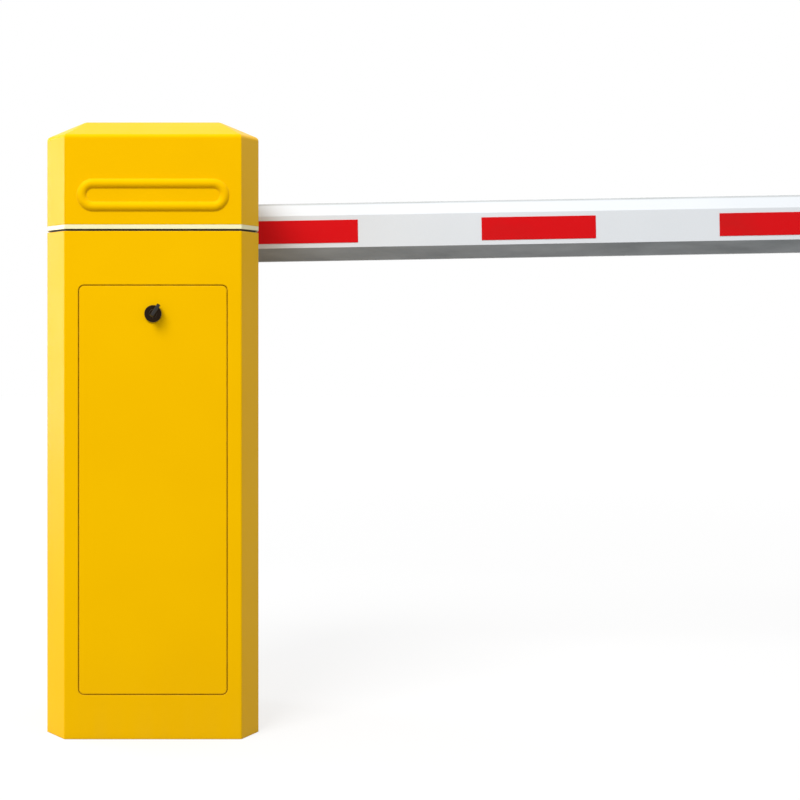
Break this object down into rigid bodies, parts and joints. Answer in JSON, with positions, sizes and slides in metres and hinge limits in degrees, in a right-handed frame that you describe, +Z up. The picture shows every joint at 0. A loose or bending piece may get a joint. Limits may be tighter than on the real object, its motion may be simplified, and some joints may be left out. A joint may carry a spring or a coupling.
{
  "type": "parking barrier gate",
  "caption": "Yellow octagonal barrier column with a lift-off hood, lift-out locked door and a white and red striped boom raised by a geared crank drive inside.",
  "frame": {"origin": "centre of the column's footprint, on the ground", "axes": "+Z up; the boom points along +X at rest; the door faces -Y; the boom hangs on the rear side, +Y"},
  "size_m": [3.1905, 0.4214, 1.011],
  "materials": {
    "yellow_paint": "satin powder coat",
    "zinc_plate": "zinc plated sheet",
    "grey_paint": "grey primer coat",
    "trim_aluminium": "satin anodised",
    "seal_rubber": "matte",
    "bolt_steel": "bright zinc plated",
    "shaft_steel": "ground",
    "cast_grey": "painted casting",
    "bronze": "plain bush",
    "spring_steel": "oiled, blackened",
    "white_boom": "white powder coat",
    "clamp_aluminium": "cast, blasted",
    "red_reflective": "reflective film",
    "black_plastic": "fine grain",
    "grey_plastic": "fine grain",
    "board_green": "circuit board",
    "lock_chrome": "dark chromed die casting",
    "key_black": "moulded key grip",
    "red_plastic": "handwheel"
  },
  "bodies": {
    "root": {"base_plate": "zinc_plate", "cable_grommet": "seal_rubber", "cabinet_body": "yellow_paint", "door_frame": "yellow_paint", "door_seal": "seal_rubber", "hood_seat_frame": "zinc_plate", "hood_seal": "seal_rubber", "support_rails": "zinc_plate", "chassis_base": "zinc_plate", "chassis_front_plate": "grey_paint", "chassis_rear_plate": "grey_paint", "chassis_tie_bars": "bolt_steel", "hex_bolts": "bolt_steel", "flange_bearings": "cast_grey", "bearing_bushes": "bronze", "gearbox_housing": "cast_grey", "gearbox_cover": "cast_grey", "motor_housing": "cast_grey", "motor_terminal_box": "black_plastic", "spring_anchor": "grey_paint", "spring_eye_bolt": "bolt_steel", "balance_spring": "spring_steel", "stop_buffers": "seal_rubber", "sensor_brackets": "zinc_plate", "limit_sensors": "bolt_steel", "control_box": "grey_plastic", "control_box_lid": "grey_plastic", "control_board": "board_green", "cable_glands": "black_plastic"},
    "boom": {"main_shaft": "shaft_steel", "shaft_keys": "shaft_steel", "rocker": "grey_paint", "rocker_pins": "bolt_steel", "cam_disc": "zinc_plate", "boom_hub": "zinc_plate", "hub_bolts": "bolt_steel", "clamp_inner_jaw": "clamp_aluminium", "clamp_outer_jaw": "clamp_aluminium", "clamp_bolts": "bolt_steel", "boom_tube": "white_boom", "boom_end_caps": "black_plastic", "boom_reflectors": "red_reflective"},
    "crank": {"output_shaft": "shaft_steel", "worm_wheel": "bronze", "crank_arm": "grey_paint", "crank_pin": "bolt_steel"},
    "con_rod_unit": {"con_rod": "bolt_steel", "rod_ends": "bolt_steel"},
    "input_shaft": {"worm_shaft": "shaft_steel", "motor_rotor": "spring_steel", "handwheel": "red_plastic"},
    "spring_link": {"spring_hanger": "zinc_plate"},
    "hood": {"hood_shell": "yellow_paint", "hood_trim": "trim_aluminium"},
    "door": {"door_panel": "yellow_paint", "door_stiffener": "zinc_plate", "lock_body": "lock_chrome"},
    "lock": {"lock_plug": "lock_chrome", "lock_key": "key_black", "lock_cam": "zinc_plate"}
  },
  "joints": [
    {"name": "boom_lift", "type": "hinge", "parent": "root", "child": "boom", "pos_m": [0, 0, 0.842], "axis": [0, -1, 0], "range_deg": [0, 89], "deforming": ["balance_spring"]},
    {"name": "crank_turn", "type": "hinge", "parent": "root", "child": "crank", "pos_m": [0, 0, 0.559], "axis": [0, -1, 0], "range_deg": [0, 89]},
    {"name": "rod_swing", "type": "hinge", "parent": "crank", "child": "con_rod_unit", "pos_m": [0.04993, -0.0775, 0.50994], "axis": [0, -1, 0], "range_deg": [-89, 0]},
    {"name": "spring_link_swing", "type": "hinge", "parent": "boom", "child": "spring_link", "pos_m": [-0.05706, -0.0775, 0.89807], "axis": [0, -1, 0], "range_deg": [-89, 0]},
    {"name": "worm_spin", "type": "hinge", "parent": "root", "child": "input_shaft", "pos_m": [-0.052, 0.009, 0.559], "axis": [0, 0, 1], "range_deg": [0, 3560]},
    {"name": "hood_lift", "type": "slide", "parent": "root", "child": "hood", "axis": [0, 0, 1], "range_m": [0, 0.15]},
    {"name": "door_tilt", "type": "hinge", "parent": "root", "child": "door", "pos_m": [0, -0.15, 0.0735], "axis": [1, 0, 0], "range_deg": [0, 20]},
    {"name": "lock_turn", "type": "hinge", "parent": "door", "child": "lock", "pos_m": [0, -0.15, 0.692], "axis": [0, -1, 0], "range_deg": [0, 90]}
  ],
  "couplings": [
    {"joint": "crank_turn", "follows": "boom_lift", "ratio": 1},
    {"joint": "rod_swing", "follows": "boom_lift", "ratio": -1},
    {"joint": "spring_link_swing", "follows": "boom_lift", "ratio": -1},
    {"joint": "worm_spin", "follows": "boom_lift", "ratio": 40}
  ]
}
